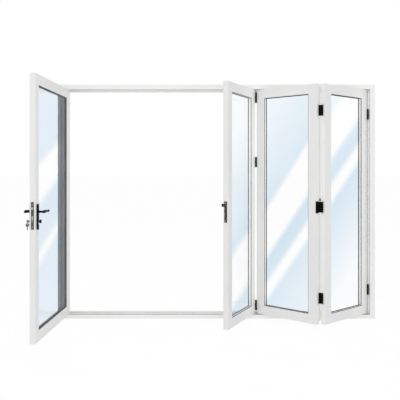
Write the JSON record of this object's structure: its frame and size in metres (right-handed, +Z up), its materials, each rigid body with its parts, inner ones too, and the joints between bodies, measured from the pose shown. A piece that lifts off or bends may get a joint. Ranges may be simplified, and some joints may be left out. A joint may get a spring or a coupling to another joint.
{
  "type": "folding patio door",
  "caption": "White framed folding patio door with glazed leaves: a lockable hinged access leaf and leaves that fold aside on a top carriage and a bottom guide.",
  "frame": {"origin": "middle of the sill's underside, on the closed leaves' mid-plane", "axes": "+X to the right along the sill seen from outside, +Y indoors, +Z up"},
  "size_m": [2.8856, 1.0021, 2.1],
  "materials": {
    "frame_white": "satin white powder coat on aluminium",
    "leaf_white": "satin white powder coat on aluminium",
    "bead_white": "satin white powder coat on aluminium",
    "glass": "clear float glass",
    "spacer": "dark grey composite spacer bar",
    "gasket": "black glazing rubber",
    "seal_grey": "pale grey weather seal",
    "hinge_black": "black powder coat",
    "handle_black": "satin black coating",
    "lock_steel": "dark burnished steel",
    "cylinder_nickel": "satin nickel",
    "key_nickel": "dulled nickel plate",
    "track_aluminium": "pale anodised aluminium",
    "carriage_grey": "satin stainless steel",
    "wheel_nylon": "dark nylon"
  },
  "bodies": {
    "frame": {"frame_head": "frame_white", "frame_sill": "frame_white", "frame_left_jamb": "frame_white", "frame_right_jamb": "frame_white", "head_track": "track_aluminium", "sill_track": "track_aluminium", "stop_seals": "seal_grey", "jamb_hinge_leaves": "hinge_black", "jamb_hinge_pins": "hinge_black"},
    "access_leaf": {"access_hinge_stile": "leaf_white", "access_lock_stile": "leaf_white", "access_rails": "leaf_white", "access_panes": "glass", "access_spacer": "spacer", "access_beads": "bead_white", "access_gaskets": "gasket", "access_hinge_leaves": "hinge_black", "lock_case": "lock_steel", "lock_faceplate": "lock_steel", "lock_cylinder": "cylinder_nickel", "inner_backplate": "handle_black", "outer_backplate": "handle_black"},
    "lever_set": {"inner_lever": "handle_black", "outer_lever": "handle_black", "lever_spindle": "lock_steel"},
    "latch": {"latch_bolt": "cylinder_nickel"},
    "deadlock": {"dead_bolt": "cylinder_nickel"},
    "key_set": {"cylinder_plug": "cylinder_nickel", "thumbturn": "handle_black", "door_key": "key_nickel"},
    "key_bunch": {"key_ring": "key_nickel", "spare_key": "key_nickel"},
    "fold_leaf_4": {"leaf_4_stiles": "leaf_white", "leaf_4_rails": "leaf_white", "leaf_4_panes": "glass", "leaf_4_spacer": "spacer", "leaf_4_beads": "bead_white", "leaf_4_gaskets": "gasket", "leaf_4_hinge_leaves": "hinge_black", "fold_hinge_pins": "hinge_black"},
    "fold_leaf_3": {"leaf_3_stiles": "leaf_white", "leaf_3_rails": "leaf_white", "leaf_3_panes": "glass", "leaf_3_spacer": "spacer", "leaf_3_beads": "bead_white", "leaf_3_gaskets": "gasket", "leaf_3_hinge_leaves": "hinge_black", "fold_pull": "handle_black"},
    "fold_leaf_2": {"leaf_2_stiles": "leaf_white", "leaf_2_rails": "leaf_white", "leaf_2_panes": "glass", "leaf_2_spacer": "spacer", "leaf_2_beads": "bead_white", "leaf_2_gaskets": "gasket", "leaf_2_hinge_leaves": "hinge_black", "lock_keep": "lock_steel"},
    "carriage": {"top_carriage": "carriage_grey", "bottom_guide": "carriage_grey"},
    "front_wheel_pair": {"front_wheels": "wheel_nylon"},
    "rear_wheel_pair": {"rear_wheels": "wheel_nylon"}
  },
  "joints": [
    {"name": "access_swing", "type": "hinge", "parent": "frame", "child": "access_leaf", "pos_m": [-1.368, -0.03, 1], "axis": [0, 0, 1], "range_deg": [-17, 93]},
    {"name": "lever_turn", "type": "hinge", "parent": "access_leaf", "child": "lever_set", "pos_m": [-1.38352, -0.89938, 1.022], "axis": [-0.9986, 0.0523, 0], "range_deg": [0, 35], "stiffness_Nm_per_rad": 1, "springref_deg": -45.84},
    {"name": "latch_slide", "type": "slide", "parent": "access_leaf", "child": "latch", "axis": [0.0523, 0.9986, 0], "range_m": [0, 0.0105]},
    {"name": "key_turn", "type": "hinge", "parent": "access_leaf", "child": "key_set", "pos_m": [-1.38352, -0.89938, 0.95], "axis": [-0.9986, 0.0523, 0], "range_deg": [0, 90]},
    {"name": "dead_bolt_slide", "type": "slide", "parent": "access_leaf", "child": "deadlock", "axis": [-0.0523, -0.9986, 0], "range_m": [0, 0.014]},
    {"name": "key_bunch_swing", "type": "hinge", "parent": "key_set", "child": "key_bunch", "pos_m": [-1.43595, -0.89663, 0.95], "axis": [-0.0523, -0.9986, 0], "range_deg": [-40, 6]},
    {"name": "fold_swing", "type": "hinge", "parent": "frame", "child": "fold_leaf_4", "pos_m": [1.368, -0.03, 1], "axis": [0, 0, 1], "range_deg": [-40, 48]},
    {"name": "fold_hinge", "type": "hinge", "parent": "fold_leaf_4", "child": "fold_leaf_3", "pos_m": [0.86368, -0.37485, 1], "axis": [0, 0, 1], "range_deg": [-96, 80]},
    {"name": "carriage_hinge", "type": "hinge", "parent": "fold_leaf_3", "child": "carriage", "pos_m": [0.35935, -0.03, 1], "axis": [0, 0, 1], "range_deg": [-40, 48]},
    {"name": "leaf_2_swing", "type": "hinge", "parent": "carriage", "child": "fold_leaf_2", "pos_m": [0.35935, -0.03, 1], "axis": [0, 0, 1], "range_deg": [-63.5, 24.5]},
    {"name": "front_wheel_roll", "type": "hinge", "parent": "carriage", "child": "front_wheel_pair", "pos_m": [0.33736, -0.03, 2.0754], "axis": [0, 1, 0], "continuous": true},
    {"name": "rear_wheel_roll", "type": "hinge", "parent": "carriage", "child": "rear_wheel_pair", "pos_m": [0.38135, -0.03, 2.0754], "axis": [0, 1, 0], "continuous": true}
  ],
  "couplings": [
    {"joint": "latch_slide", "follows": "lever_turn", "m_per_rad": 0.01718},
    {"joint": "dead_bolt_slide", "follows": "key_turn", "m_per_rad": 0.0089},
    {"joint": "fold_hinge", "follows": "fold_swing", "ratio": -2},
    {"joint": "carriage_hinge", "follows": "fold_swing", "ratio": 1}
  ]
}
